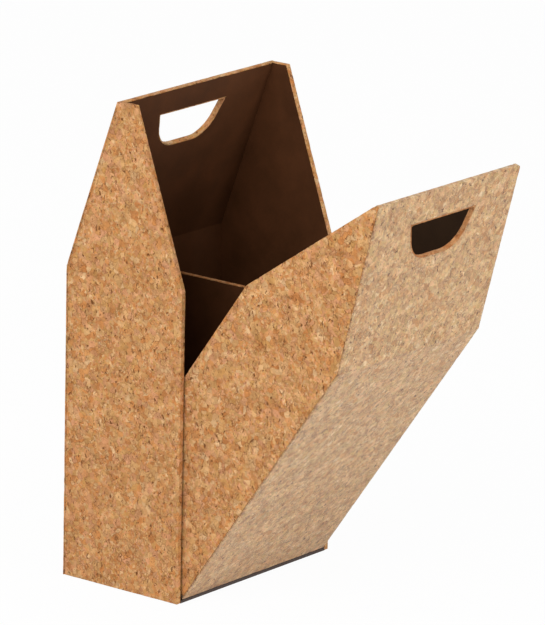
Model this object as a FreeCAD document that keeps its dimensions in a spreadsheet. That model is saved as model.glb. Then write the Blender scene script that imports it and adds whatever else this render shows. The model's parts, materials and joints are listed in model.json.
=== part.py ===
import FreeCAD, Part
import os
import Sketcher

# A two-bay carrier box of rigid board, faced with cork and lined with thin brown sheet.
# It is two nested shells. The case stands on its base: two six-sided gables, a back panel whose upper
# part leans forward, a base and a divider. The cover has a front panel of the same bent form between
# two gables that nest inside the case's gables. It swings forward about the bottom front edge.
#
# X runs along the length, the front faces -Y and Z is up. The origin is the middle of the case's
# underside. The cover's sub-parts are drawn closed, from the hinge line: their Y is the depth behind
# the cover's front face and their Z is the height above the hinge line. Their placement opens them.

os.makedirs("parts", exist_ok=True)
doc = FreeCAD.newDocument("carrier_box")

# Driving dimensions in millimetres and degrees
SIZES = (
    ("case_length", 190.0, "outside, gable to gable"),
    ("case_depth", 115.0, "outside, front edge to back face"),
    ("shoulder_height", 250.0, "where the case's gables start to narrow"),
    ("case_height", 388.0, "to the flat top of the gables"),
    ("ridge_depth", 18.0, "depth of that flat top"),
    ("case_board_thickness", 3.0, "rigid board of the case"),
    ("cover_board_thickness", 2.5, "rigid board of the cover"),
    ("divider_board_thickness", 3.0, "rigid board of the divider"),
    ("bottom_board_thickness", 1.4, "board across the underside"),
    ("floor_board_thickness", 2.5, "second board, which the closed cover meets"),
    ("cork_thickness", 1.2, "cork sheet outside"),
    ("lining_thickness", 0.4, "brown sheet inside and underneath"),
    ("strip_thickness", 1.0, "strips over the cut edges of the board"),
    ("divider_height", 233.0, "top of the divider above the table"),
    ("cover_shoulder_height", 257.5, "bend of the cover, closed"),
    ("cover_height", 389.0, "front top corner of the cover, closed"),
    ("cover_setback", 49.3, "that corner behind the cover's front face, closed"),
    ("cover_gable_depth", 104.0, "front face to the back edge of the cover's gables"),
    ("cover_gable_shoulder", 250.0, "height of their back corner, closed"),
    ("nest_gap", 1.8, "between the case's gables and the cover's gables"),
    ("hinge_gap", 0.2, "under the closed cover's front panel"),
    ("floor_gap", 1.0, "from the closed cover to the floor"),
    ("divider_gap", 1.5, "from the closed cover to the divider"),
    ("open_angle", 35.0, "how far the cover stands open"),
    ("hand_hole_width", 82.0, "along its straight top edge"),
    ("hand_hole_depth", 33.0, "from the top edge to the bottom edge"),
    ("hand_hole_radius", 26.0, "of its two lower corners"),
    ("hand_hole_flare", 19.0, "slant of its ends"),
    ("case_hole_drop", 19.5, "top of the case's hand hole below the panel's top"),
    ("cover_hole_drop", 24.5, "top of the cover's hand hole below the panel's top"),
    ("hinge_leaf_height", 14.0, "hinge strip up the inside of the cover"),
)

# Lines that several sub-parts share, worked out from the driving dimensions
LINES = (
    ("half_length", "Sizes.case_length / 2"),
    ("half_depth", "Sizes.case_depth / 2"),
    ("case_wall", "Sizes.cork_thickness + Sizes.case_board_thickness + Sizes.lining_thickness"),
    ("case_skin", "Sizes.cork_thickness + Sizes.case_board_thickness"),
    ("cover_wall", "Sizes.cork_thickness + Sizes.cover_board_thickness + Sizes.lining_thickness"),
    ("cover_skin", "Sizes.cork_thickness + Sizes.cover_board_thickness"),
    ("case_lean", "(half_depth - Sizes.ridge_depth / 2) / (Sizes.case_height - Sizes.shoulder_height)"),
    ("case_stretch", "sqrt(1 + case_lean * case_lean)"),
    ("case_fold_drop", "(case_stretch - 1) / case_lean"),
    ("bottom_top", "Sizes.lining_thickness + Sizes.bottom_board_thickness"),
    ("ledge_top", "bottom_top + Sizes.lining_thickness"),
    ("floor_board_top", "bottom_top + Sizes.floor_board_thickness"),
    ("floor_top", "floor_board_top + Sizes.lining_thickness"),
    ("hinge_height", "ledge_top + Sizes.hinge_gap / 2"),
    ("floor_front", "cover_wall + Sizes.floor_gap - half_depth"),
    ("divider_front", "cover_wall + Sizes.divider_gap - half_depth"),
    ("cover_half_length", "half_length - case_wall - Sizes.nest_gap"),
    ("cover_fold", "Sizes.cover_shoulder_height - hinge_height"),
    ("cover_rise", "Sizes.cover_height - hinge_height"),
    ("cover_lean", "Sizes.cover_setback / (Sizes.cover_height - Sizes.cover_shoulder_height)"),
    ("cover_stretch", "sqrt(1 + cover_lean * cover_lean)"),
    ("cover_fold_drop", "(cover_stretch - 1) / cover_lean"),
    ("leaf_foot", "Sizes.hinge_gap / 2"),
    ("panel_foot", "leaf_foot + Sizes.lining_thickness"),
    ("gable_foot", "floor_top + Sizes.floor_gap - hinge_height"),
    ("gable_corner", "Sizes.cover_gable_shoulder - hinge_height"),
    ("ridge_back", "Sizes.cover_setback + cover_wall / cover_stretch"),
    ("ridge_height", "cover_rise - cover_lean * cover_wall / cover_stretch"),
    ("gable_lean", "(Sizes.cover_gable_depth - ridge_back) / (ridge_height - gable_corner)"),
    ("gable_stretch", "sqrt(1 + gable_lean * gable_lean)"),
    ("gable_fold_drop", "(gable_stretch - 1) / gable_lean"),
)


def fill_sheet(name, rows):
    """One row for each value: its word, its cell and what it is."""
    sheet = doc.addObject("Spreadsheet::Sheet", name)
    for number, row in enumerate(rows, start=1):
        sheet.set(f"A{number}", row[0])
        sheet.set(f"B{number}", str(row[1]) if len(row) > 2 else f"={row[1]}")
        sheet.setAlias(f"B{number}", row[0])
        if len(row) > 2:
            sheet.set(f"C{number}", row[2])
    doc.recompute()
    return sheet


fill_sheet("Sizes", SIZES)
lines = fill_sheet("Lines", LINES)

CORK = "Sizes.cork_thickness"
LINING = "Sizes.lining_thickness"
STRIP = "Sizes.strip_thickness"
SIDES = (("left", -1), ("right", 1))
nodes = []


# Sketches and bodies
def plane(body, role):
    return next(feature for feature in body.Origin.OriginFeatures if feature.Role == role)


def new_body(label):
    body = doc.addObject("PartDesign::Body", label)
    body.Label = label
    nodes.append(body)
    return body


def pin(sketch, line, end, across, up):
    """Hold one end of a line at a place that the sheets give."""
    for kind, expression in (("DistanceX", across), ("DistanceY", up)):
        value = float(lines.evalExpression(expression))
        index = sketch.addConstraint(Sketcher.Constraint(kind, -1, 1, line, end, value))
        sketch.setExpression(f"Constraints[{index}]", expression)


def outline(body, corners, start):
    """A closed outline in Y and Z, standing at X = start."""
    sketch = body.newObject("Sketcher::SketchObject", f"{body.Label}_outline")
    sketch.AttachmentSupport = [(plane(body, "YZ_Plane"), "")]
    sketch.MapMode = "FlatFace"
    sketch.setExpression("AttachmentOffset.Base.z", start)
    spots = [FreeCAD.Vector(float(lines.evalExpression(across)), float(lines.evalExpression(up)), 0)
             for across, up in corners]
    for number, spot in enumerate(spots):
        sketch.addGeometry(Part.LineSegment(spot, spots[(number + 1) % len(spots)]))
    for number, (across, up) in enumerate(corners):
        last = (number - 1) % len(corners)
        sketch.addConstraint(Sketcher.Constraint("Coincident", last, 2, number, 1))
        pin(sketch, number, 1, across, up)
    return sketch


def pad(body, sketch, length, backwards=False):
    feature = body.newObject("PartDesign::Pad", f"{body.Label}_pad")
    feature.Profile = sketch
    feature.Reversed = backwards
    feature.setExpression("Length", length)
    sketch.Visibility = False
    return feature


def slab(label, corners, start, length):
    """A body of one outline and one thickness along X."""
    body = new_body(label)
    pad(body, outline(body, corners, start), length)
    return body


def centred(label, corners, half):
    """A body of one outline, the same length to both sides of the middle."""
    return slab(label, corners, f"-({half})", f"2 * ({half})")


def beside(sign, half, outer, inner):
    """Start and length along X of a layer between two depths under the outer face of one end."""
    start = f"-({half} - ({outer}))" if sign < 0 else f"{half} - ({inner})"
    return start, f"({inner}) - ({outer})"


# The case in Y and Z
def case_front(inset, height):
    """Depth of the gables' leaning front edge at a height, a little inside its face."""
    return (f"Lines.case_lean * ({height} - Sizes.shoulder_height)"
            f" + ({inset}) * Lines.case_stretch - Lines.half_depth")


def case_back(inset, height):
    return f"-({case_front(inset, height)})"


def case_fold(inset):
    """Height of the bend at a depth under the face."""
    return f"Sizes.shoulder_height - ({inset}) * Lines.case_fold_drop"


def case_gable(front, back, top, foot):
    """The six-sided gable, with its front, back and top edges drawn in and its foot raised."""
    height = f"Sizes.case_height - ({top})"
    return (
        (f"({front}) - Lines.half_depth", foot),
        (f"({front}) - Lines.half_depth", case_fold(front)),
        (case_front(front, height), height),
        (case_back(back, height), height),
        (f"Lines.half_depth - ({back})", case_fold(back)),
        (f"Lines.half_depth - ({back})", foot),
    )


def back_lower(outer, inner, foot):
    return (
        (f"Lines.half_depth - ({outer})", foot),
        (f"Lines.half_depth - ({outer})", case_fold(outer)),
        (f"Lines.half_depth - ({inner})", case_fold(inner)),
        (f"Lines.half_depth - ({inner})", foot),
    )


def back_upper(outer, inner, top):
    height = f"Sizes.case_height - ({top})"
    return (
        (f"Lines.half_depth - ({outer})", case_fold(outer)),
        (case_back(outer, height), height),
        (case_back(inner, height), height),
        (f"Lines.half_depth - ({inner})", case_fold(inner)),
    )


def back_folded(outer, inner, top, foot):
    """A sheet that runs up the back and over its bend."""
    upper = back_upper(outer, inner, top)
    lower = back_lower(outer, inner, foot)
    return (lower[0],) + upper + (lower[3],)


def box_corners(front, back, low, high):
    return ((front, low), (back, low), (back, high), (front, high))


# The closed cover in depth behind its front face and height above the hinge
def cover_top(inset, drop):
    """A point under the front panel's square-cut top: how deep, and how far down the slope."""
    return (
        f"Sizes.cover_setback + (({inset}) - Lines.cover_lean * ({drop})) / Lines.cover_stretch",
        f"Lines.cover_rise - (Lines.cover_lean * ({inset}) + ({drop})) / Lines.cover_stretch",
    )


def cover_fold(inset):
    return f"Lines.cover_fold - ({inset}) * Lines.cover_fold_drop"


def gable_peak(front, back):
    """Where a line inside the front panel meets a line inside the gable's leaning back edge."""
    up = (f"(Sizes.cover_gable_depth + Lines.gable_lean * Lines.gable_corner"
          f" - ({back}) * Lines.gable_stretch - ({front}) * Lines.cover_stretch"
          f" + Lines.cover_lean * Lines.cover_fold) / (Lines.cover_lean + Lines.gable_lean)")
    return f"({front}) * Lines.cover_stretch + Lines.cover_lean * ({up} - Lines.cover_fold)", up


def gable_fold(inset):
    return f"Lines.gable_corner - ({inset}) * Lines.gable_fold_drop"


def cover_gable(front, edge):
    """The cover's five-sided gable behind the front panel, with its free edges drawn in."""
    return (
        (front, f"Lines.gable_foot + ({edge})"),
        (front, cover_fold(front)),
        gable_peak(front, edge),
        (f"Sizes.cover_gable_depth - ({edge})", gable_fold(edge)),
        (f"Sizes.cover_gable_depth - ({edge})", f"Lines.gable_foot + ({edge})"),
    )


def front_lower(outer, inner, foot):
    return ((outer, foot), (outer, cover_fold(outer)), (inner, cover_fold(inner)), (inner, foot))


def front_upper(outer, inner, drop):
    return (
        (outer, cover_fold(outer)),
        cover_top(outer, drop),
        cover_top(inner, drop),
        (inner, cover_fold(inner)),
    )


def front_folded(outer, inner, drop, foot):
    """A sheet that runs up the front panel and over its bend."""
    return ((outer, foot),) + front_upper(outer, inner, drop) + ((inner, foot),)


# Hand holes: a straight top edge, slanting ends and two large round lower corners
CASE_PANEL = {
    "up": "Sizes.case_height", "back": "Sizes.ridge_depth / 2", "turn": "atan(Lines.case_lean)",
    "drop": "Sizes.case_hole_drop",
}
COVER_PANEL = {
    "up": "Lines.cover_rise", "back": "Sizes.cover_setback", "turn": "-atan(Lines.cover_lean)",
    "drop": "Sizes.cover_hole_drop",
}


def hand_hole(body, panel, inset):
    """The hole's outline on the outer face of a leaning panel, drawn in by an inset."""
    sketch = body.newObject("Sketcher::SketchObject", f"{body.Label}_hole")
    sketch.AttachmentSupport = [(plane(body, "XZ_Plane"), "")]
    sketch.MapMode = "FlatFace"
    sketch.AttachmentOffset = FreeCAD.Placement(
        FreeCAD.Vector(0, 0, 0), FreeCAD.Rotation(FreeCAD.Vector(1, 0, 0), 1))
    sketch.setExpression("AttachmentOffset.Base.y", panel["up"])
    sketch.setExpression("AttachmentOffset.Base.z", f"-({panel['back']})")
    sketch.setExpression("AttachmentOffset.Rotation.Angle", panel["turn"])
    flare = "Sizes.hand_hole_flare"
    edge = f"Sizes.hand_hole_width / 2 - ({inset}) * (tan({flare} * 1 deg) + 1 / cos({flare} * 1 deg))"
    top = f"-({panel['drop']} + ({inset}))"
    foot = f"-({panel['drop']} + Sizes.hand_hole_depth - ({inset}))"
    radius = f"Sizes.hand_hole_radius - ({inset})"
    half, high, low, bend, slant = (
        float(lines.evalExpression(text)) for text in (edge, top, foot, radius, flare))
    tilt = FreeCAD.Units.Quantity(f"{slant} deg").getValueAs("rad").Value
    turn = FreeCAD.Vector(bend, 0, 0)
    spot = FreeCAD.Rotation(FreeCAD.Vector(0, 0, 1), -slant).multVec(turn)
    run = (high - (low + bend + spot.y)) * spot.y / spot.x
    centre = half + run - spot.x
    right_top = FreeCAD.Vector(half, high, 0)
    left_top = FreeCAD.Vector(-half, high, 0)
    right_end = FreeCAD.Vector(centre + spot.x, low + bend + spot.y, 0)
    left_end = FreeCAD.Vector(-centre - spot.x, low + bend + spot.y, 0)
    quarter = FreeCAD.Units.Quantity("90 deg").getValueAs("rad").Value
    upright = FreeCAD.Vector(0, 0, 1)
    right_round = Part.Circle(FreeCAD.Vector(centre, low + bend, 0), upright, bend)
    left_round = Part.Circle(FreeCAD.Vector(-centre, low + bend, 0), upright, bend)
    sketch.addGeometry([
        Part.LineSegment(left_top, right_top),
        Part.LineSegment(right_top, right_end),
        Part.ArcOfCircle(right_round, -quarter, -tilt),
        Part.LineSegment(FreeCAD.Vector(centre, low, 0), FreeCAD.Vector(-centre, low, 0)),
        Part.ArcOfCircle(left_round, 2 * quarter + tilt, 3 * quarter),
        Part.LineSegment(left_end, left_top),
    ])
    for kind, first, first_end, second, second_end in (
        ("Coincident", 0, 2, 1, 1), ("Tangent", 1, 2, 2, 2), ("Tangent", 2, 1, 3, 1),
        ("Tangent", 3, 2, 4, 2), ("Tangent", 4, 1, 5, 1), ("Coincident", 5, 2, 0, 1),
    ):
        sketch.addConstraint(Sketcher.Constraint(kind, first, first_end, second, second_end))
    pin(sketch, 0, 1, f"-({edge})", top)
    pin(sketch, 0, 2, edge, top)
    index = sketch.addConstraint(Sketcher.Constraint("DistanceY", -1, 1, 3, 1, low))
    sketch.setExpression(f"Constraints[{index}]", foot)
    for arc in (2, 4):
        index = sketch.addConstraint(Sketcher.Constraint("Radius", arc, bend))
        sketch.setExpression(f"Constraints[{index}]", radius)
    sketch.addConstraint(Sketcher.Constraint("Horizontal", 3))
    sketch.addConstraint(Sketcher.Constraint("Equal", 1, 5))
    index = sketch.addConstraint(Sketcher.Constraint("Angle", 0, 2, 1, 1, quarter - tilt))
    sketch.setExpression(f"Constraints[{index}]", f"90 deg - {flare} * 1 deg")
    return sketch


def cut_hole(body, panel, inset):
    """Cut the hole right through the body, square to the panel."""
    sketch = hand_hole(body, panel, inset)
    feature = body.newObject("PartDesign::Pocket", f"{body.Label}_cut")
    feature.Profile = sketch
    feature.Type = "ThroughAll"
    feature.SideType = "Symmetric"
    sketch.Visibility = False


def hole_strip(label, panel, wall, backwards):
    """The strip round a hand hole, as wide as the wall is thick."""
    body = new_body(label)
    pad(body, hand_hole(body, panel, "0"), wall, backwards)
    cut_hole(body, panel, STRIP)
    return body


# Case: gables
for side, sign in SIDES:
    slab(f"case_{side}_gable_cork", case_gable("0", CORK, "0", "0"),
         *beside(sign, "Lines.half_length", "0", CORK))
    slab(f"case_{side}_gable_board", case_gable(STRIP, CORK, STRIP, "0"),
         *beside(sign, "Lines.half_length", CORK, "Lines.case_skin"))
    slab(f"case_{side}_gable_lining", case_gable(STRIP, "Lines.case_wall", STRIP, "0"),
         *beside(sign, "Lines.half_length", "Lines.case_skin", "Lines.case_wall"))
    edge = case_gable("0", CORK, "0", "0")
    inside = case_gable(STRIP, CORK, STRIP, "0")
    slab(f"case_{side}_edge_strip", edge[:4] + (inside[3], inside[2], inside[1], inside[0]),
         *beside(sign, "Lines.half_length", CORK, "Lines.case_wall"))

# Case: back panel, with the hand hole in its upper part
between_boards = "Lines.half_length - Lines.case_skin"
between_linings = "Lines.half_length - Lines.case_wall"
centred("back_lower_board", back_lower(CORK, "Lines.case_skin", "0"), between_boards)
back_board = centred("back_upper_board", back_upper(CORK, "Lines.case_skin", STRIP), between_boards)
back_cork = centred("back_cork", back_folded("0", CORK, "0", "0"), "Lines.half_length")
back_lining = centred("back_lining", back_folded("Lines.case_skin", "Lines.case_wall", STRIP, "0"),
                      between_boards)
for body in (back_board, back_cork, back_lining):
    cut_hole(body, CASE_PANEL, "0")
ridge_low = f"Sizes.case_height - {STRIP}"
centred("back_top_strip", (
    (case_back(CORK, ridge_low), ridge_low),
    (case_back(CORK, "Sizes.case_height"), "Sizes.case_height"),
    (case_back("Lines.case_wall", "Sizes.case_height"), "Sizes.case_height"),
    (case_back("Lines.case_wall", ridge_low), ridge_low),
), between_linings)
hole_strip("back_hand_hole_strip", CASE_PANEL, "Lines.case_wall", False)

# Case: base, with a ledge in front of the floor where the cover's front panel stands
front_edge = "-Lines.half_depth"
lining_back = "Lines.half_depth - Lines.case_wall"
lip_back = f"{LINING} - Lines.half_depth"
centred("bottom_covering", (
    (front_edge, "0"),
    (lining_back, "0"),
    (lining_back, LINING),
    (lip_back, LINING),
    (lip_back, "Lines.ledge_top"),
    (front_edge, "Lines.ledge_top"),
), between_linings)
centred("bottom_board", box_corners(lip_back, lining_back, LINING, "Lines.bottom_top"), between_linings)
centred("hinge_ledge_leaf", box_corners(lip_back, "Lines.floor_front", "Lines.bottom_top", "Lines.ledge_top"),
        between_linings)
floor_lip = f"Lines.floor_front + {LINING}"
centred("floor_board", box_corners(floor_lip, lining_back, "Lines.bottom_top", "Lines.floor_board_top"),
        between_linings)
centred("floor_lining", (
    ("Lines.floor_front", "Lines.bottom_top"),
    (floor_lip, "Lines.bottom_top"),
    (floor_lip, "Lines.floor_board_top"),
    (lining_back, "Lines.floor_board_top"),
    (lining_back, "Lines.floor_top"),
    ("Lines.floor_front", "Lines.floor_top"),
), between_linings)

# Case: divider, its lining folded round the front edge and a strip along its top
divider_half = "Sizes.divider_board_thickness / 2"
divider_low_top = f"Sizes.divider_height - {STRIP}"
board_front = f"Lines.divider_front + {LINING}"
divider_section = box_corners(board_front, lining_back, "Lines.floor_top", divider_low_top)
centred("divider_board", divider_section, divider_half)
divider_skin = f"{divider_half} + {LINING}"
divider_whole = box_corners("Lines.divider_front", lining_back, "Lines.floor_top", divider_low_top)
divider_lining = centred("divider_lining", divider_whole, divider_skin)
slot = divider_lining.newObject("PartDesign::Pocket", "divider_lining_slot")
slot.Profile = outline(divider_lining, divider_section, f"-({divider_half})")
slot.Reversed = True
slot.setExpression("Length", "Sizes.divider_board_thickness")
divider_edge = box_corners("Lines.divider_front", lining_back, divider_low_top, "Sizes.divider_height")
centred("divider_top_strip", divider_edge, divider_skin)

# Cover: gables, nested inside the case's gables
case_nodes = len(nodes)
for side, sign in SIDES:
    cork = cover_gable(CORK, "0")
    ridge = (cover_top(CORK, "0"), cover_top("Lines.cover_wall", "0"))
    slab(f"cover_{side}_gable_cork", cork[:2] + ridge + cork[3:],
         *beside(sign, "Lines.cover_half_length", "0", CORK))
    slab(f"cover_{side}_gable_board", cover_gable("Lines.cover_skin", STRIP),
         *beside(sign, "Lines.cover_half_length", CORK, "Lines.cover_skin"))
    slab(f"cover_{side}_gable_lining", cover_gable("Lines.cover_wall", STRIP),
         *beside(sign, "Lines.cover_half_length", "Lines.cover_skin", "Lines.cover_wall"))
    edge = cover_gable("Lines.cover_wall", "0")
    inside = cover_gable("Lines.cover_wall", STRIP)
    slab(f"cover_{side}_edge_strip", edge[2:] + (edge[0], inside[0], inside[4], inside[3], inside[2]),
         *beside(sign, "Lines.cover_half_length", CORK, "Lines.cover_wall"))

# Cover: front panel, with the hand hole in its upper part
cover_boards = f"Lines.cover_half_length - {CORK}"
between_cover_boards = "Lines.cover_half_length - Lines.cover_skin"
centred("front_lower_board", front_lower(CORK, "Lines.cover_skin", "Lines.panel_foot"), cover_boards)
front_board = centred("front_upper_board", front_upper(CORK, "Lines.cover_skin", STRIP), cover_boards)
cork_section = front_folded("0", CORK, "0", "Lines.panel_foot")
front_cork = centred("front_cork", cork_section, "Lines.cover_half_length")
lining_section = front_folded("Lines.cover_skin", "Lines.cover_wall", STRIP, "Sizes.hinge_leaf_height")
front_lining = centred("front_lining", lining_section, between_cover_boards)
for body in (front_board, front_cork, front_lining):
    cut_hole(body, COVER_PANEL, "0")
centred("front_top_strip", (
    cover_top(CORK, "0"),
    cover_top("Lines.cover_wall", "0"),
    cover_top("Lines.cover_wall", STRIP),
    cover_top(CORK, STRIP),
), cover_boards)
hole_strip("front_hand_hole_strip", COVER_PANEL, "Lines.cover_wall", True)

# Cover: hinge strip under the front panel and a short way up its inside
panel_foot = "Lines.panel_foot"
flat_leg = box_corners("0", "Lines.cover_wall", "Lines.leaf_foot", panel_foot)
leaf = centred("hinge_cover_leaf", flat_leg, "Lines.cover_half_length")
upright_leg = box_corners("Lines.cover_skin", "Lines.cover_wall", panel_foot, "Sizes.hinge_leaf_height")
pad(leaf, outline(leaf, upright_leg, f"-({between_cover_boards})"), f"2 * ({between_cover_boards})")

# The cover stands open about the hinge line
for body in nodes[case_nodes:]:
    body.Placement = FreeCAD.Placement(
        FreeCAD.Vector(0, 0, 0), FreeCAD.Rotation(FreeCAD.Vector(1, 0, 0), 1))
    body.setExpression("Placement.Base.y", "-Lines.half_depth")
    body.setExpression("Placement.Base.z", "Lines.hinge_height")
    body.setExpression("Placement.Rotation.Angle", "Sizes.open_angle * 1 deg")
doc.recompute()

# Every object must be sound before anything is written
for item in doc.Objects:
    if "Invalid" in item.State or "Error" in item.State:
        raise RuntimeError(f"{item.Label}: {item.State}")
for body in nodes:
    if body.Shape.isNull() or not body.Shape.isValid() or len(body.Shape.Solids) != 1:
        raise RuntimeError(f"{body.Label} is not one sound solid")
for body in nodes:
    body.Shape.exportStep(f"parts/{body.Label}.step")
    print(f"{body.Label}: {body.Shape.Volume / 1000:.2f} cubic centimetres")
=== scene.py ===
# %% [markdown]
# A carrier box of rigid board, faced with cork sheet, stands open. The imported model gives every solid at
# its real size and place, so the first step is only to load it and to keep its box. Each later cell
# dresses one piece or mixes one finish, in metres and in the model's own frame: X runs along the box, the
# front faces -Y and Z is up.

# %% Load the frame
import json
import math

import bmesh
import bpy
import numpy as np
from mathutils import Matrix, Vector, noise


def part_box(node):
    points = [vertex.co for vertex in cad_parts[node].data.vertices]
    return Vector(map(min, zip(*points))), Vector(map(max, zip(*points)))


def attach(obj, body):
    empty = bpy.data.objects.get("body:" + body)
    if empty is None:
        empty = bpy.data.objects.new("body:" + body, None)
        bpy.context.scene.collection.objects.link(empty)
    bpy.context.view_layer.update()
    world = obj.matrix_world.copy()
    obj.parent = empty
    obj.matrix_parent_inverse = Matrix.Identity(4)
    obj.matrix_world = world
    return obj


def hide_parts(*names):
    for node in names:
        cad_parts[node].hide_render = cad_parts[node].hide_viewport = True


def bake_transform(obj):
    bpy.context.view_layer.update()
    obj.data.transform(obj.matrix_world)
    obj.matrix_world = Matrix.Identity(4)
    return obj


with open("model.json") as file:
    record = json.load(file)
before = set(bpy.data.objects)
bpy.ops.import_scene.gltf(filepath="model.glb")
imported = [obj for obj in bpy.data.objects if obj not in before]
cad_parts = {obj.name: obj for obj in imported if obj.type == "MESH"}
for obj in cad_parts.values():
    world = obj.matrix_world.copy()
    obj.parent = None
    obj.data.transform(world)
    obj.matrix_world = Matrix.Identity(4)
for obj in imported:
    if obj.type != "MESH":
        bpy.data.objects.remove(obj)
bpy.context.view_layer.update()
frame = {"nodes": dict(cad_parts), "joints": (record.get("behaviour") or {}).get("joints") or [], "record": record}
MM = 0.001

# %% [markdown]
# The camera stands well back with a long lens, so the box's upright edges stay nearly parallel. Its place
# comes from the corners of the box in the picture: they fix the direction, the distance and a slight tilt
# of the horizon. A camera looks along its own -Z, so its three axes are written as the columns of a matrix.

# %% Place the camera
PICTURE = (545, 625)
FOCAL_PIXELS = 6177.5
AIM = Vector((17.2, -57.5, 211.1)) * MM
AZIMUTH = math.radians(-51.951)
ELEVATION = math.radians(15.539)
ROLL = math.radians(1.185)
DISTANCE = 4.794
SENSOR = 36.0

back = Vector((math.sin(AZIMUTH) * math.cos(ELEVATION),
               -math.cos(AZIMUTH) * math.cos(ELEVATION),
               math.sin(ELEVATION)))
level = Vector((math.cos(AZIMUTH), math.sin(AZIMUTH), 0))
upright = back.cross(level)
right = level * math.cos(ROLL) + upright * math.sin(ROLL)
above = upright * math.cos(ROLL) - level * math.sin(ROLL)
facing = Matrix((right, above, back)).transposed().to_4x4()

camera = bpy.data.objects.new("camera", bpy.data.cameras.new("camera"))
camera.data.sensor_width = SENSOR
camera.data.lens = FOCAL_PIXELS / max(PICTURE) * SENSOR
camera.matrix_world = Matrix.Translation(AIM + back * DISTANCE) @ facing
bpy.context.scene.collection.objects.link(camera)
bpy.context.scene.camera = camera
print("lens", round(camera.data.lens, 1), "mm")

# %% [markdown]
# Every finish here is a small network of shader nodes. A few helpers keep the recipes short. The first
# turns a colour, given in 0 to 255, into the linear values that shaders use. The next ones make a
# node and fill its sockets: a plain value is written into the socket, and another node's socket is joined.

# %% Write the helpers for nodes
def shade(red, green, blue):
    """A colour given in 0 to 255, turned into linear values by the sRGB curve."""
    linear = [((value / 255 + 0.055) / 1.055) ** 2.4 for value in (red, green, blue)]
    return (*linear, 1.0)


def fill(tree, socket, value):
    """Join a socket to another node's, or give it a plain value."""
    if isinstance(value, bpy.types.NodeSocket):
        tree.links.new(value, socket)
    else:
        socket.default_value = value


def add_node(tree, kind, settings=None, **sockets):
    """A node with its settings and its sockets filled in by name."""
    made = tree.nodes.new(kind)
    for name, value in (settings or {}).items():
        setattr(made, name, value)
    for name, value in sockets.items():
        wanted = name.replace("_", " ")
        fill(tree, next(each for each in made.inputs if each.name == wanted and each.enabled), value)
    return made


def arithmetic(tree, work, *values, kind="ShaderNodeMath"):
    """The result of a sum, such as ADD or MAXIMUM, on values given in order."""
    made = add_node(tree, kind, {"operation": work})
    for socket, value in zip(made.inputs, values):
        fill(tree, socket, value)
    return made.outputs[0]


def vector_work(tree, work, *values):
    """The same for places, which have three values each."""
    return arithmetic(tree, work, *values, kind="ShaderNodeVectorMath")


print("an even grey is", round(shade(128, 128, 128)[0], 3), "to a shader")

# %% [markdown]
# The other helpers are the steps that the recipes repeat. Two colours are mixed or multiplied, a value is
# spread over another range, a random value picks a colour from a ramp, and a noise of a given size gives
# patches, fibres or pores. A new finish starts with its shader and output already joined.

# %% Write the helpers for finishes
def blend_colours(tree, first, second, share, mode="MIX"):
    """Two colours laid over each other by a share from 0 to 1."""
    made = add_node(tree, "ShaderNodeMix", {"data_type": "RGBA", "blend_type": mode})
    for number, value in ((0, share), (6, first), (7, second)):
        fill(tree, made.inputs[number], value)
    return made.outputs[2]


def tinted(tree, colour, tint):
    """A colour multiplied by another one."""
    return blend_colours(tree, colour, tint, 1.0, "MULTIPLY")


def stretch(tree, value, low, high, to_low=0.0, to_high=1.0):
    """A value spread from one range to another, and held at its ends."""
    return add_node(tree, "ShaderNodeMapRange", Value=value, From_Min=low, From_Max=high,
                    To_Min=to_low, To_Max=to_high).outputs[0]


def ramp(tree, value, stops):
    """The colour that a value from 0 to 1 picks from a row of stops, each a place and a colour."""
    made = add_node(tree, "ShaderNodeValToRGB", Fac=value)
    while len(made.color_ramp.elements) < len(stops):
        made.color_ramp.elements.new(1.0)
    for element, (place, colour) in zip(made.color_ramp.elements, stops):
        element.position = place
        element.color = colour
    return made.outputs[0]


def noise_value(tree, place, size, detail, roughness=0.5):
    """A soft random value from about 0.3 to 0.7, in patches of one size with finer ones on them."""
    return add_node(tree, "ShaderNodeTexNoise", Vector=place, Scale=1 / size, Detail=detail,
                    Roughness=roughness).outputs[0]


def new_finish(name, roughness, gloss):
    """A material with its shader, and the place on the piece that its patterns are laid out from."""
    material = bpy.data.materials.new(name)
    material.use_nodes = True
    tree = material.node_tree
    tree.nodes.clear()
    shader = add_node(tree, "ShaderNodeBsdfPrincipled", Roughness=roughness, Specular_IOR_Level=gloss)
    output = add_node(tree, "ShaderNodeOutputMaterial")
    tree.links.new(shader.outputs[0], output.inputs[0])
    place = add_node(tree, "ShaderNodeTexCoord").outputs["Object"]
    return material, tree, shader, place


print("patterns are laid out in the model's own metres")

# %% [markdown]
# Agglomerated cork is bark ground into granules, pressed with a little glue and sliced into sheet. Each
# granule was cut at another angle, so neighbours differ in tone, from straw to orange and pink. Voronoi
# cells of two sizes give the granules, because real ones are mixed. A noise first pushes every place a few
# millimetres about, so that the cells lose their straight sides.

# %% Lay out the granules
GRANULE = 4.6 * MM
CHIP = 0.48
CHIP_AREA = GRANULE / 0.35
CHIP_AREA_EDGE = (0.46, 0.56)
SEED_STEPS = (1.0, 0.7, 0.4)
WARP = 6 * MM
WARP_SIZE = GRANULE / 0.6


def warped_place(tree, place, seed):
    """The place in the pattern, moved on by a seed and pushed about, and the noise that pushed it."""
    place = vector_work(tree, "ADD", place, [seed * step for step in SEED_STEPS])
    wobble = add_node(tree, "ShaderNodeTexNoise", Vector=place, Scale=1 / WARP_SIZE, Detail=3.0,
                      Roughness=0.6)
    centred = vector_work(tree, "SUBTRACT", wobble.outputs["Color"], (0.5, 0.5, 0.5))
    return vector_work(tree, "MULTIPLY_ADD", centred, (WARP, WARP, WARP), place), wobble.outputs[0]


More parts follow.
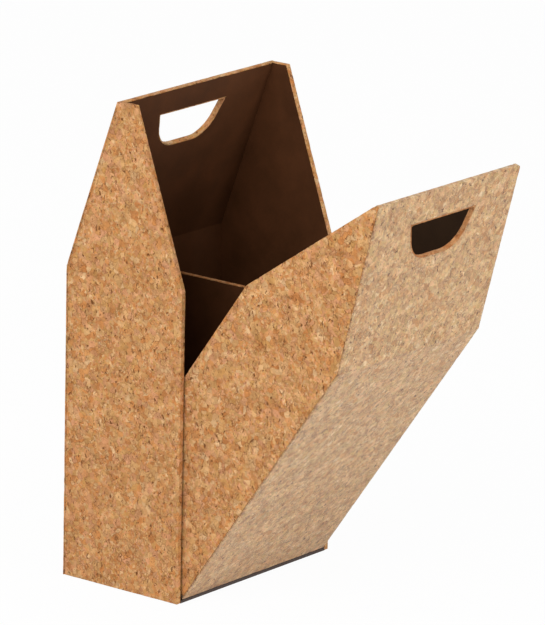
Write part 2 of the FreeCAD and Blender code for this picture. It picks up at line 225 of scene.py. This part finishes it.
def granules(tree, place, size):
    """Cells of one size: two random values for each cell, and how far each place is from its edge."""
    cells = add_node(tree, "ShaderNodeTexVoronoi", Vector=place, Scale=1 / size)
    edges = add_node(tree, "ShaderNodeTexVoronoi", {"feature": "DISTANCE_TO_EDGE"}, Vector=place,
                     Scale=1 / size)
    parts = add_node(tree, "ShaderNodeSeparateColor", Color=cells.outputs["Color"])
    return parts.outputs[0], parts.outputs[1], edges.outputs["Distance"]


def mixed_granules(tree, place, tones, size):
    """Areas of large granules and of chips: their colour, and the random values and edges of both sizes."""
    large_tone, large_light, large_edge = granules(tree, place, size)
    chip_tone, chip_light, chip_edge = granules(tree, place, size * CHIP)
    chips = stretch(tree, noise_value(tree, place, CHIP_AREA, 1.0), *CHIP_AREA_EDGE)
    colour = blend_colours(tree, ramp(tree, large_tone, tones), ramp(tree, chip_tone, tones), chips)
    return colour, (large_light, chip_light), (large_edge, chip_edge)


print("granules are", round(GRANULE / MM, 1), "and", round(GRANULE * CHIP / MM, 1), "mm across")

# %% [markdown]
# Three things keep cork from looking printed. Whole areas are a little warmer or paler than others, each
# granule is a little lighter or darker than its tone, and the glue joints between granules are thin brown
# lines that break off. A joint is where the distance to a cell's edge is small.

# %% Shade the granules and draw their joints
PATCH = 15 * MM
PATCH_EDGE = (0.35, 0.65)
WARM_AREA = (0.92, 0.88, 0.82, 1)
PALE_AREA = (1.08, 1.11, 1.16, 1)
LIGHT_SPAN = (0.3, 1.7)
GRANULE_LIGHT = (0.82, 1.13)
JOINT_WIDTH = (0.10, 0.14)
JOINT_STRENGTH = (0.75, 0.50)
JOINT_BREAK = (0.44, 0.60)


def shaded_granules(tree, place, colour, lights):
    """The granules' colour with warm and pale areas, and with each granule lighter or darker."""
    area = stretch(tree, noise_value(tree, place, PATCH, 3.0), *PATCH_EDGE)
    colour = tinted(tree, colour, blend_colours(tree, WARM_AREA, PALE_AREA, area))
    light = stretch(tree, arithmetic(tree, "ADD", *lights), *LIGHT_SPAN, *GRANULE_LIGHT)
    return tinted(tree, colour, add_node(tree, "ShaderNodeCombineColor", Red=light, Green=light,
                                         Blue=light).outputs[0])


def broken_joints(tree, edges, wobble):
    """How strongly the joint shows at each place, from 0 to 1."""
    lines = [stretch(tree, edge, 0.0, width, strength, 0.0)
             for edge, width, strength in zip(edges, JOINT_WIDTH, JOINT_STRENGTH)]
    return arithmetic(tree, "MULTIPLY", arithmetic(tree, "MAXIMUM", *lines),
                      stretch(tree, wobble, *JOINT_BREAK))


print("warm and pale areas are about", round(PATCH / MM), "mm across")

# %% [markdown]
# Dark flecks are bits of the outer bark. They come in three sizes: flecks of a few millimetres, fine crumbs
# and a few knots. Each is a noise of which only the highest values count, so a higher share leaves fewer of
# them. Flecks and knots are squeezed along slanted axes, because bark comes off in slivers. A value on a
# skin's points marks its chosen seam edges, and a ragged brown painted shade follows it there.

# %% Scatter the bark and paint shade along the chosen seams
FLECK = 3.2 * MM
CRUMB = 1.3 * MM
KNOT = 6 * MM
SLIVER = {"Scale": (1.0, 1.25, 0.7), "Rotation": (0.5, 0.3, 0.8)}
SOFT_EDGE = 0.06
CRUMB_EXTRA = 0.04
CRUMB_STRENGTH = 0.7
KNOT_SHARE = 0.62
KNOT_STRENGTH = 0.9
RAGGED = 0.7
# How far and how strongly the painted seam shade reaches.
SEAM_SHADE_EDGE = (1.14, 1.32)
SEAM_SHADE_STRENGTH = 0.9


def bark_flecks(tree, place, share):
    """How dark the bark shows at each place, and the crumbs' noise by itself."""
    slivers = add_node(tree, "ShaderNodeMapping", Vector=place, **SLIVER).outputs[0]
    bark = noise_value(tree, slivers, FLECK, 4.0, 0.66)
    crumbs = noise_value(tree, place, CRUMB, 2.0)
    knots = noise_value(tree, slivers, KNOT, 6.0, 0.72)
    crumb_share = share + CRUMB_EXTRA
    flecks = arithmetic(tree, "MAXIMUM", stretch(tree, bark, share, share + SOFT_EDGE),
                        stretch(tree, crumbs, crumb_share, crumb_share + SOFT_EDGE, 0.0, CRUMB_STRENGTH))
    knots = stretch(tree, knots, KNOT_SHARE, KNOT_SHARE + SOFT_EDGE, 0.0, KNOT_STRENGTH)
    return arithmetic(tree, "MAXIMUM", flecks, knots), crumbs


def painted_seam_shade_mask(tree, crumbs):
    """How strongly shade is painted along the chosen seam edges at each place."""
    painted_seam_shade = add_node(tree, "ShaderNodeAttribute", {"attribute_name": "painted_seam_shade"}).outputs["Fac"]
    ragged = arithmetic(tree, "ADD", painted_seam_shade, arithmetic(tree, "MULTIPLY", crumbs, RAGGED))
    return stretch(tree, ragged, *SEAM_SHADE_EDGE, 0.0, SEAM_SHADE_STRENGTH)


print("flecks, crumbs and knots are", [round(size / MM, 1) for size in (FLECK, CRUMB, KNOT)], "mm")

# %% [markdown]
# The recipe puts these together: granules, joints, painted seam shade and flecks in this order, then pores
# that only a close view shows. Cork is dull and slightly pitted. The joints and the flecks lie a little lower
# than the granules, and a bump of a quarter of a millimetre shows that without any more faces.

# %% Put the cork recipe together
PORE = 0.35 * MM
PORE_TINTS = (0.93, 0.93, 0.93, 1), (1.07, 1.07, 1.07, 1)
GRANULE_HEIGHT = 0.30
PORE_HEIGHT = 0.35
JOINT_DIP = 0.5
PIT = 0.25 * MM
PIT_STRENGTH = 0.55
CORK_ROUGHNESS = 0.79
ROUGHNESS_SPREAD = 0.09
SHEEN_ROUGHNESS = 0.4


def cork_finish(name, tones, joint_tone, fleck_tone, fleck_share, seed, granule=GRANULE, gloss=0.28,
                sheen=0.0):
    """A cork sheet of the given tones. The seed moves it to another place in the pattern."""
    material, tree, shader, place = new_finish(name, CORK_ROUGHNESS, gloss)
    shader.inputs["Sheen Weight"].default_value = sheen
    shader.inputs["Sheen Roughness"].default_value = SHEEN_ROUGHNESS
    place, wobble = warped_place(tree, place, seed)
    colour, lights, edges = mixed_granules(tree, place, tones, granule)
    colour = shaded_granules(tree, place, colour, lights)
    joints = broken_joints(tree, edges, wobble)
    flecks, crumbs = bark_flecks(tree, place, fleck_share)
    pores = noise_value(tree, place, PORE, 2.0)
    colour = blend_colours(tree, colour, joint_tone, joints)
    # Painted shade: the chosen seam edges are darkened to the joint tone.
    colour = blend_colours(tree, colour, joint_tone, painted_seam_shade_mask(tree, crumbs))
    colour = blend_colours(tree, colour, fleck_tone, flecks)
    colour = tinted(tree, colour, blend_colours(tree, *PORE_TINTS, pores))
    tree.links.new(colour, shader.inputs["Base Color"])

    height = arithmetic(tree, "ADD", arithmetic(tree, "MULTIPLY", lights[0], GRANULE_HEIGHT),
                        arithmetic(tree, "MULTIPLY", pores, PORE_HEIGHT))
    dips = arithmetic(tree, "MULTIPLY", arithmetic(tree, "ADD", joints, flecks), JOINT_DIP)
    relief = add_node(tree, "ShaderNodeBump", Height=arithmetic(tree, "SUBTRACT", height, dips),
                      Strength=PIT_STRENGTH, Distance=PIT)
    tree.links.new(relief.outputs[0], shader.inputs["Normal"])
    dullness = stretch(tree, lights[0], 0.0, 1.0, CORK_ROUGHNESS - ROUGHNESS_SPREAD,
                       CORK_ROUGHNESS + ROUGHNESS_SPREAD)
    tree.links.new(dullness, shader.inputs["Roughness"])
    return material


print("pores are", round(PORE / MM, 2), "mm across")

# %% [markdown]
# The case and the cover's gables are faced from one sheet, warm and mixed. A granule's random value picks
# its tone from the row, so a tone with a long stretch before and after it is met more often.

# %% Mix the warm cork
TONE_PLACES = (0.0, 0.22, 0.42, 0.60, 0.80, 1.0)
ORANGE = shade(189, 122, 66)
HONEY = shade(198, 139, 82)
ROSE = shade(204, 145, 103)
STRAW = shade(206, 158, 104)
OCHRE = shade(188, 138, 78)
PALE = shade(216, 174, 126)
JOINT = shade(134, 82, 38)
BARK = shade(110, 66, 27)

cork = cork_finish(
    "cork_sheet",
    list(zip(TONE_PLACES, (ORANGE, HONEY, ROSE, STRAW, OCHRE, PALE))),
    JOINT, BARK, fleck_share=0.59, seed=0.0,
)
print("the cork finish has", len(cork.node_tree.nodes), "nodes")

# %% [markdown]
# The cover's front is faced from another sheet, with finer granules. Its tones are paler and greyer, with
# fewer orange ones: that is painted sheen, for the pale grazing light on the front. It is the same recipe
# with other tones and another place in the pattern. Its face was polished smoother, so it has more gloss, and
# a faint sheen makes it paler where it is seen from the side. The cut edges are cork too, but fresh from the
# knife, so they are warmer and closer in tone.

# %% Mix the other two corks
PALE_GRANULE = 3.8 * MM
# Paler, greyer tones: painted sheen on the front sheet.
SHEEN_PAINTED_TONES = (shade(178, 126, 74), shade(198, 151, 101), shade(204, 159, 116),
              shade(208, 171, 120), shade(186, 150, 94), shade(217, 186, 144))
pale_cork = cork_finish(
    "cork_sheet_pale", list(zip(TONE_PLACES, SHEEN_PAINTED_TONES)), shade(112, 68, 34), shade(98, 60, 28),
    fleck_share=0.595, seed=0.31, granule=PALE_GRANULE, gloss=0.85, sheen=0.30,
)
edge_cork = cork_finish(
    "cork_edge", [(0.0, shade(172, 106, 58)), (0.5, shade(186, 126, 76)), (1.0, shade(200, 148, 100))],
    JOINT, BARK, fleck_share=0.62, seed=0.17,
)
print("the front's granules are", round(PALE_GRANULE / MM, 1), "mm across")

# %% [markdown]
# The inside is lined with a thin dark brown sheet, and so are the underside and the hinge. It is matte, a
# little uneven where the glue under it is thick, and has a very fine pressed grain. Brown this dark turns
# black under bump that is too strong, so the relief stays slight and the tone carries the look. The cover's
# lining lies in its own shadow and shows nearly black through the hand hole, so it gets a darker mix.

# %% Mix the dark sheets
GRAIN = 0.45 * MM
CLOUD = 30 * MM
PRESSED = 0.12 * MM
CLOUD_EDGE = (0.3, 0.7)
CLOUD_SPAN = (0.2, 0.8)
CELL_HEIGHT = 0.5
DULLNESS_SPREAD = 0.08
FIBRE_TINTS = (0.86, 0.86, 0.86, 1), (1.16, 1.15, 1.13, 1)


def dark_sheet(name, tone, light_tone, roughness, gloss, relief_strength):
    """A dark sheet with slow clouds of two tones and a fine pressed grain."""
    material, tree, shader, place = new_finish(name, roughness, gloss)
    clouds = noise_value(tree, place, CLOUD, 4.0, 0.6)
    fibres = noise_value(tree, place, 4 * GRAIN, 5.0, 0.7)
    colour = blend_colours(tree, tone, light_tone, stretch(tree, clouds, *CLOUD_EDGE))
    colour = tinted(tree, colour, blend_colours(tree, *FIBRE_TINTS, fibres))
    tree.links.new(colour, shader.inputs["Base Color"])
    cells = add_node(tree, "ShaderNodeTexVoronoi", {"feature": "SMOOTH_F1"}, Vector=place, Scale=1 / GRAIN)
    cell_height = arithmetic(tree, "MULTIPLY", cells.outputs["Distance"], CELL_HEIGHT)
    height = arithmetic(tree, "ADD", cell_height, fibres)
    relief = add_node(tree, "ShaderNodeBump", Height=height, Strength=relief_strength, Distance=PRESSED)
    tree.links.new(relief.outputs[0], shader.inputs["Normal"])
    dullness = stretch(tree, clouds, *CLOUD_SPAN, roughness - DULLNESS_SPREAD, roughness + DULLNESS_SPREAD)
    tree.links.new(dullness, shader.inputs["Roughness"])
    return material


LINING = {"roughness": 0.66, "gloss": 0.12, "relief_strength": 0.35}
lining = dark_sheet("brown_lining", shade(71, 41, 21), shade(87, 51, 28), **LINING)
cover_lining = dark_sheet("brown_cover_lining", shade(44, 29, 17), shade(54, 36, 21), **LINING)
covering = dark_sheet("brown_covering", shade(48, 32, 24), shade(60, 41, 31), roughness=0.55, gloss=0.4,
                      relief_strength=0.5)
print("the dark sheets' grain is", round(GRAIN / MM, 2), "mm across")

# %% [markdown]
# Rigid board is brown fibre pulp, pressed flat. It is hidden between the cork and the lining, so a short
# recipe of fibres is enough. Its brown is kept darker than plain pulp, which paints the shade in the narrow
# notch below the cover gable's foot, where its edge shows. Then every node of the model gets the finish of
# its own slot, and the cover's lining the darker mix.

# %% Mix the board and dress the model's own nodes
FIBRE = 1.2 * MM
FIBRE_DEPTH = 0.1 * MM


def board_finish():
    """Brown pulp with short fibres."""
    material, tree, shader, place = new_finish("rigid_board", roughness=0.9, gloss=0.2)
    fibres = noise_value(tree, place, FIBRE, 6.0, 0.75)
    # Dark brown: the pulp's tone, darkened as painted shade for the notch where the board shows.
    tree.links.new(blend_colours(tree, shade(118, 92, 66), shade(146, 120, 92), fibres),
                   shader.inputs["Base Color"])
    relief = add_node(tree, "ShaderNodeBump", Height=fibres, Strength=0.3, Distance=FIBRE_DEPTH)
    tree.links.new(relief.outputs[0], shader.inputs["Normal"])
    return material


FINISHES = {"cork": cork, "front_cork": pale_cork, "cork_edge": edge_cork, "lining": lining,
            "covering": covering, "board": board_finish()}
slot_of = {part["node"]: part["material_slot"] for part in frame["record"]["subparts"]}
for name, thing in frame["nodes"].items():
    in_shade = name.startswith(("cover_", "front_")) and slot_of[name] == "lining"
    thing.data.materials.clear()
    thing.data.materials.append(cover_lining if in_shade else FINISHES[slot_of[name]])
print(len(slot_of), "nodes dressed")

# %% [markdown]
# A cork sheet is soft, so a maker's knife and a few weeks of use round its edges and pull small bits out of
# them. The solids have dead sharp edges. Each skin is made again here from the solids that it stands for:
# they are joined into one shell, its edges are rounded, and it is divided finely enough for the surface to
# rise and fall a little. The shell takes up the same space, so it still meets its neighbours.

# %% Join solids into one shell
def join_nodes(name, nodes):
    """One mesh with the outer surface of several touching solids."""
    first = bpy.data.objects.new(name, frame["nodes"][nodes[0]].data.copy())
    bpy.context.scene.collection.objects.link(first)
    for node in nodes[1:]:
        joining = first.modifiers.new("join", "BOOLEAN")
        joining.operation = "UNION"
        joining.solver = "EXACT"
        joining.object = frame["nodes"][node]
    bpy.context.view_layer.update()
    evaluated = first.evaluated_get(bpy.context.evaluated_depsgraph_get())
    mesh = bpy.data.meshes.new_from_object(evaluated)
    bpy.data.objects.remove(first)
    mesh.name = name
    return mesh


cork_nodes = [node for node, slot in slot_of.items() if FINISHES[slot] in (cork, pale_cork, edge_cork)]
print(len(cork_nodes), "cork nodes are made again")

# %% [markdown]
# The rounding comes before the fine division, so that it only has the few long edges of the plain shell to
# work on. Planes then cut the whole shell into squares of one size, which leaves its form as it was. An
# edge counts as sharp when its two faces turn by more than fifteen degrees, which keeps the small facets of
# a round corner out of it.

# %% Round the edges and divide the faces
SHARP = math.radians(15)
FLAT = math.radians(0.6)
WELD = 0.01 * MM
ROUND_STEPS = 3


def sharp_edges(shell):
    """The edges where the surface turns by more than the sharp angle."""
    return [edge for edge in shell.edges if len(edge.link_faces) == 2 and edge.calc_face_angle(0) > SHARP]


def rounded_shell(mesh, radius, square):
    """The shell with round edges and faces cut into squares, and where its sharp edges were."""
    shell = bmesh.new()
    shell.from_mesh(mesh)
    bmesh.ops.remove_doubles(shell, verts=shell.verts, dist=WELD)
    bmesh.ops.dissolve_limit(shell, angle_limit=FLAT, verts=shell.verts, edges=shell.edges)
    edges = sharp_edges(shell)
    lines = np.array([[corner.co[:] for corner in edge.verts] for edge in edges])
    bmesh.ops.bevel(shell, geom=edges, offset=radius, segments=ROUND_STEPS, profile=0.5, affect="EDGES",
                    clamp_overlap=True)
    places = np.array([corner.co[:] for corner in shell.verts])
    for axis in range(3):
        low, high = places[:, axis].min(), places[:, axis].max()
        for cut in np.arange(low + square, high - square / 2, square):
            point = Vector((0, 0, 0))
            point[axis] = cut
            across = Vector((0, 0, 0))
            across[axis] = 1
            bmesh.ops.bisect_plane(shell, geom=shell.verts[:] + shell.edges[:] + shell.faces[:],
                                   plane_co=point, plane_no=across)
    return shell, lines


def distance_to_lines(places, lines):
    """How far each place is from the nearest of the lines."""
    nearest = np.full(len(places), np.inf)
    for start, end in lines:
        run = end - start
        share = np.clip((places - start) @ run / (run @ run), 0, 1)
        nearest = np.minimum(nearest, np.linalg.norm(places - start - share[:, None] * run, axis=1))
    return nearest


print("an edge is sharp above", round(math.degrees(SHARP)), "degrees")

# %% [markdown]
# Wear and relief only ever take material away: every point moves inwards along its own normal, so the shell
# can't come through a neighbour. Two sizes of noise shape the faces, and near an edge a stronger, finer one
# bites out crumbs. The noise reads a point's own place, so it gives the same result on every run. Along
# chosen seam edges the points also carry the value that the cork's shader reads to paint shade there.

# %% Crumble the edges and lift the grain
SWELL = 9 * MM
BITE = 1.7 * MM
BITE_START = 0.05
SWELL_DEPTH = 0.10 * MM
GRAIN_DEPTH = 0.05 * MM
BITE_DEPTH = 0.42 * MM
EDGE_REACH = 0.8 * MM
SMOOTH = math.radians(40)


def closeness(places, lines):
    """1 on a line, and down to 0 within about a millimetre of it."""
    return np.exp(-(distance_to_lines(places, lines) / EDGE_REACH) ** 2)


def wear_and_seam_shade(shell, lines, shaded_seams=None):
    """Move every point inwards by the wear at its place, and note where shade is painted on chosen seams."""
    painted_seam_shade = shell.verts.layers.float.new("painted_seam_shade")
    shell.normal_update()
    shell.verts.ensure_lookup_table()
    places = np.array([corner.co[:] for corner in shell.verts])
    low, high = lines.min(axis=(0, 1)), lines.max(axis=(0, 1))
    seam_shade = np.zeros(len(places)) if shaded_seams is None else closeness(places, shaded_seams)
    for corner, near, dark in zip(shell.verts, closeness(places, lines), seam_shade):
        swell = 0.5 + 0.5 * noise.noise(corner.co / SWELL)
        grain = 0.5 + 0.5 * noise.noise(corner.co / GRANULE)
        bite = max(0.0, noise.noise(corner.co / BITE) - BITE_START)
        depth = swell * SWELL_DEPTH + grain * GRAIN_DEPTH + near * bite * BITE_DEPTH
        corner.co = Vector(np.clip(corner.co - corner.normal * depth, low, high))
        corner[painted_seam_shade] = dark


def finish_shell(shell, name, body, nodes, finish):
    """Turn a shell into a piece that rides on its body in place of its nodes."""
    bmesh.ops.triangulate(shell, faces=[face for face in shell.faces if len(face.verts) > 4])
    mesh = bpy.data.meshes.new(name)
    shell.to_mesh(mesh)
    shell.free()
    piece = bpy.data.objects.new(name, mesh)
    bpy.context.scene.collection.objects.link(piece)
    mesh.materials.append(finish)
    for face in mesh.polygons:
        face.use_smooth = True
    mesh.set_sharp_from_angle(angle=SMOOTH)
    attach(piece, body)
    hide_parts(*nodes)
    print(name, "has", len(mesh.polygons), "faces")


# %% [markdown]
# The case's skins come first. On each gable the cork goes round the free edges as well, so the face and the
# strip on the edge become one shell. The back's skin takes in the strips along its top and in its hand
# hole. They divide into squares of about three millimetres, which is finer than the swell needs and coarse
# enough to keep the piece light.

# %% Make the case's cork
EDGE_RADIUS = 0.38 * MM
SQUARE = 3.0 * MM

for side in ("left", "right"):
    nodes = [f"case_{side}_gable_cork", f"case_{side}_edge_strip"]
    shell, lines = rounded_shell(join_nodes(f"{side}_gable_skin", nodes), EDGE_RADIUS, SQUARE)
    wear_and_seam_shade(shell, lines)
    finish_shell(shell, f"{side}_gable_skin", "case", nodes, cork)

nodes = ["back_cork", "back_top_strip", "back_hand_hole_strip"]
shell, lines = rounded_shell(join_nodes("back_skin", nodes), EDGE_RADIUS, SQUARE)
wear_and_seam_shade(shell, lines)
finish_shell(shell, "back_skin", "case", nodes, cork)

# %% [markdown]
# The cover is made the same way. Its two top corners are the ones that a hand knocks, and they are rounded
# by about three millimetres. That is more than the sheet is thick, so it isn't a bevel: every point outside
# a quarter circle in the plane of the panel is pulled back onto it.

# %% Find the cover's upper panel and its corners
KNOCKED = 3.0 * MM


def front_normal(node):
    """The normal of a node's largest flat face, turned to the front."""
    sums = {}
    for face in frame["nodes"][node].data.polygons:
        key = tuple(round(value, 3) for value in face.normal)
        sums[key] = sums.get(key, 0) + face.area
    normal = Vector(max(sums, key=sums.get)).normalized()
    return normal if normal.y < 0 else -normal


panel_out = front_normal("front_upper_board")
panel_up = Vector((1, 0, 0)).cross(panel_out)
panel_up = panel_up if panel_up.z > 0 else -panel_up
panel_top = max(corner.co.dot(panel_up) for corner in frame["nodes"]["front_cork"].data.vertices)
panel_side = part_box("front_cork")[1].x


def knock_corners(shell):
    """Round the cover's two top corners in the plane of its panel."""
    for corner in shell.verts:
        across = KNOCKED - (panel_side - abs(corner.co.x))
        up = KNOCKED - (panel_top - corner.co.dot(panel_up))
        reach = math.hypot(across, up)
        if across > 0 and up > 0 and reach > KNOCKED:
            pull = 1 - KNOCKED / reach
            corner.co.x -= math.copysign(across * pull, corner.co.x)
            corner.co -= panel_up * up * pull


print("the cover's upper panel leans", round(math.degrees(math.asin(-panel_up.y)), 1), "degrees")

# %% [markdown]
# Shade is painted on the front sheet along its two sides, where it meets the gables' cork in a seam. Those
# are the sharp edges whose two ends both lie at the sheet's side, and only they get the painted shade.

# %% Make the cover's cork
for side in ("left", "right"):
    nodes = [f"cover_{side}_gable_cork", f"cover_{side}_edge_strip"]
    shell, lines = rounded_shell(join_nodes(f"cover_{side}_skin", nodes), EDGE_RADIUS, SQUARE)
    wear_and_seam_shade(shell, lines)
    knock_corners(shell)
    finish_shell(shell, f"cover_{side}_skin", "cover", nodes, cork)

nodes = ["front_cork", "front_top_strip"]
shell, lines = rounded_shell(join_nodes("front_skin", nodes), EDGE_RADIUS, SQUARE)
# The front sheet's two side seams get painted shade.
side_lines = lines[np.abs(lines[:, :, 0].sum(axis=1)) > 2 * (panel_side - WELD)]
wear_and_seam_shade(shell, lines, side_lines)
knock_corners(shell)
finish_shell(shell, "front_skin", "cover", nodes, pale_cork)

# %% [markdown]
# The divider's top edge is a narrow cork strip, and so is the rim of the cover's hand hole, where it shows
# warmer than the pale front. They get the same rounding and wear, on a finer division, because each strip
# is only a few millimetres wide.

# %% Make the narrow strips
STRIP_RADIUS = 0.25 * MM
STRIP_SQUARE = 1.5 * MM

for name, body, node in (("divider_strip", "case", "divider_top_strip"),
                         ("cover_hole_strip", "cover", "front_hand_hole_strip")):
    shell, lines = rounded_shell(join_nodes(name, [node]), STRIP_RADIUS, STRIP_SQUARE)
    wear_and_seam_shade(shell, lines)
    finish_shell(shell, name, body, [node], edge_cork)

# %% [markdown]
# The hinge is one strip of the dark sheet: it is glued to the ledge, comes forward to the front edge, turns
# back under the cover's foot and climbs a little way up its inside. Two stiff leaves would leave a crack
# between them at the edge, so the strip is one mesh, built bent round the fold in the open pose: below the
# hinge line it lies along the case, above it along the cover, with a smooth turn in the fold. The part that
# climbs is a little narrower, because it stands between the cover's gables.

# %% Lay out the hinge strip's path
hinge = next(joint for joint in frame["joints"] if joint["name"] == "cover_hinge")
hinge_line = Vector(hinge["pos_m"])
OPEN = math.radians(-hinge["range_deg"][0])
FOLD_RUN = 0.7 * MM
FOLD_STEPS = 6
depth_way = Vector((0, math.cos(OPEN), math.sin(OPEN)))
height_way = Vector((0, -math.sin(OPEN), math.cos(OPEN)))


def in_cover(depth, height):
    """A place in the open cover, from its depth behind the front face and its height above the hinge."""
    return hinge_line + depth_way * depth + height_way * height


ledge_low, ledge_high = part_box("hinge_ledge_leaf")
leaf = [corner.co - hinge_line for corner in frame["nodes"]["hinge_cover_leaf"].data.vertices]
strip_thickness = ledge_high.z - ledge_low.z
half = strip_thickness / 2
leaf_middle = max(place.dot(depth_way) for place in leaf) - half
leaf_top = max(place.dot(height_way) for place in leaf)
fold_radius = min(place.dot(height_way) for place in leaf) + half

route = [Vector((0, ledge_high.y - half, ledge_high.z - half)),
         Vector((0, hinge_line.y + FOLD_RUN, ledge_high.z - half))]
for step in range(FOLD_STEPS + 1):
    turn = -math.pi / 2 - (math.pi - OPEN) * step / FOLD_STEPS
    route.append(hinge_line + Vector((0, math.cos(turn), math.sin(turn))) * fold_radius)
route += [in_cover(FOLD_RUN, fold_radius), in_cover(leaf_middle, fold_radius)]
climb = [in_cover(leaf_middle, fold_radius + half), in_cover(leaf_middle, leaf_top)]
outer_reach = max(place.x for place in leaf)
inner_reach = max(place.x for place in leaf if place.dot(height_way) > leaf_top - WELD)
reaches = [outer_reach] * len(route) + [inner_reach] * len(climb)
print("the strip is", round(strip_thickness / MM, 2), "mm thick and climbs", round(leaf_top / MM, 1), "mm")

# %% [markdown]
# A ribbon is quicker to build point by point than to bend. Each place on the path gives two points, one on
# each side, and the same ring of points is repeated along the hinge line and joined up by faces. It is made
# in the open pose and takes the place of the two leaves.

# %% Make the hinge strip
STRIP_PIECES = 60


def ribbon(name, path, reaches, thickness, pieces):
    """A strip of one thickness that follows a path in Y and Z and reaches out by its own X at each place."""
    rows = []
    for number, point in enumerate(path):
        before = path[max(number - 1, 0)]
        after = path[min(number + 1, len(path) - 1)]
        run = (after - before).normalized()
        side = Vector((0, -run.z, run.y)) * thickness / 2
        rows.append((point + side, point - side))
    ring = [upper for upper, lower in rows] + [lower for upper, lower in reversed(rows)]
    reaches = reaches + reaches[::-1]
    shell = bmesh.new()
    grid = []
    for number in range(pieces + 1):
        share = 2 * number / pieces - 1
        grid.append([shell.verts.new((share * reach, point.y, point.z))
                     for reach, point in zip(reaches, ring)])
    for first, second in zip(grid, grid[1:]):
        for number in range(len(ring)):
            after = (number + 1) % len(ring)
            shell.faces.new((first[number], first[after], second[after], second[number]))
    shell.faces.new(reversed(grid[0]))
    shell.faces.new(grid[-1])
    bmesh.ops.recalc_face_normals(shell, faces=shell.faces)
    bmesh.ops.triangulate(shell, faces=[face for face in shell.faces if len(face.verts) > 4])
    mesh = bpy.data.meshes.new(name)
    shell.to_mesh(mesh)
    shell.free()
    piece = bpy.data.objects.new(name, mesh)
    bpy.context.scene.collection.objects.link(piece)
    return piece


strip = ribbon("hinge_strip", route + climb, reaches, strip_thickness, STRIP_PIECES)
strip.data.materials.append(covering)
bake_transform(strip)
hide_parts("hinge_ledge_leaf", "hinge_cover_leaf")
print("the hinge strip has", len(strip.data.polygons), "faces")

# %% [markdown]
# The studio is a pale floor that runs out of the picture on all sides, under one even sky. Only the camera
# and reflections see it as white, by the Light Path node, so the box gets no extra light from it and keeps
# its colours. A small share of the floor is still plain white paint, and that share takes the box's shadow.

# %% Build the studio
FLOOR_RADIUS = 9.0
FLOOR_SIDES = 96
GLOW_SHARE = 0.965
WHITE_PAINT = (0.82, 0.82, 0.82, 1)


def seen_directly(tree):
    """1 for the camera and for reflections, and 0 for the light that falls on the box."""
    path = add_node(tree, "ShaderNodeLightPath")
    seen = arithmetic(tree, "MAXIMUM", path.outputs["Is Camera Ray"], path.outputs["Is Glossy Ray"])
    return arithmetic(tree, "MAXIMUM", seen, path.outputs["Is Transmission Ray"])


floor_mesh = bpy.data.meshes.new("floor")
floor_turns = [2 * math.pi * step / FLOOR_SIDES for step in range(FLOOR_SIDES)]
floor_ring = [(FLOOR_RADIUS * math.cos(turn), FLOOR_RADIUS * math.sin(turn), 0) for turn in floor_turns]
floor_mesh.from_pydata(floor_ring, [], [list(range(FLOOR_SIDES))])
floor = bpy.data.objects.new("floor", floor_mesh)
bpy.context.scene.collection.objects.link(floor)

paper = bpy.data.materials.new("white_paper")
paper.use_nodes = True
tree = paper.node_tree
tree.nodes.clear()
paint = add_node(tree, "ShaderNodeBsdfDiffuse", Color=WHITE_PAINT)
glow = add_node(tree, "ShaderNodeEmission", Color=(1, 1, 1, 1), Strength=1.0)
mixed = add_node(tree, "ShaderNodeMixShader")
for socket, value in zip(mixed.inputs, (arithmetic(tree, "MULTIPLY", seen_directly(tree), GLOW_SHARE),
                                        paint.outputs[0], glow.outputs[0])):
    fill(tree, socket, value)
output = add_node(tree, "ShaderNodeOutputMaterial")
tree.links.new(mixed.outputs[0], output.inputs[0])
floor_mesh.materials.append(paper)
print("the floor is", 2 * FLOOR_RADIUS, "m across")

# %% [markdown]
# The sky gives an even base light, and two large soft lamps shape the box. The main one stands high and to
# the left of the camera, and a weaker one stands low before the box and lights the cover's front. Large
# lamps make the soft shadows of a product picture. Their sum is set so that a colour comes out about as it
# is written.

# %% Light the studio
SKY_LIGHT = 0.62
world = bpy.data.worlds.new("studio_sky")
world.use_nodes = True
bpy.context.scene.world = world
tree = world.node_tree
tree.nodes.clear()
sky = add_node(tree, "ShaderNodeBackground", Color=(1, 1, 1, 1),
               Strength=stretch(tree, seen_directly(tree), 0.0, 1.0, SKY_LIGHT, 1.0))
output = add_node(tree, "ShaderNodeOutputWorld")
tree.links.new(sky.outputs[0], output.inputs[0])


def soft_lamp(name, azimuth, elevation, distance, size, power):
    """A square lamp that stands round the box and faces it."""
    lamp = bpy.data.objects.new(name, bpy.data.lights.new(name, "AREA"))
    lamp.data.shape = "SQUARE"
    lamp.data.size = size
    lamp.data.energy = power
    turn, tilt = math.radians(azimuth), math.radians(elevation)
    way = Vector((math.sin(turn) * math.cos(tilt), -math.cos(turn) * math.cos(tilt), math.sin(tilt)))
    lamp.location = AIM + way * distance
    lamp.rotation_euler = way.to_track_quat("Z", "Y").to_euler()
    bpy.context.scene.collection.objects.link(lamp)
    print(name, "gives", power, "W")


soft_lamp("main_lamp", azimuth=-78, elevation=38, distance=2.2, size=1.4, power=26.0)
soft_lamp("fill_lamp", azimuth=6, elevation=6, distance=2.4, size=0.9, power=19.0)
bpy.context.scene.view_settings.view_transform = "Standard"
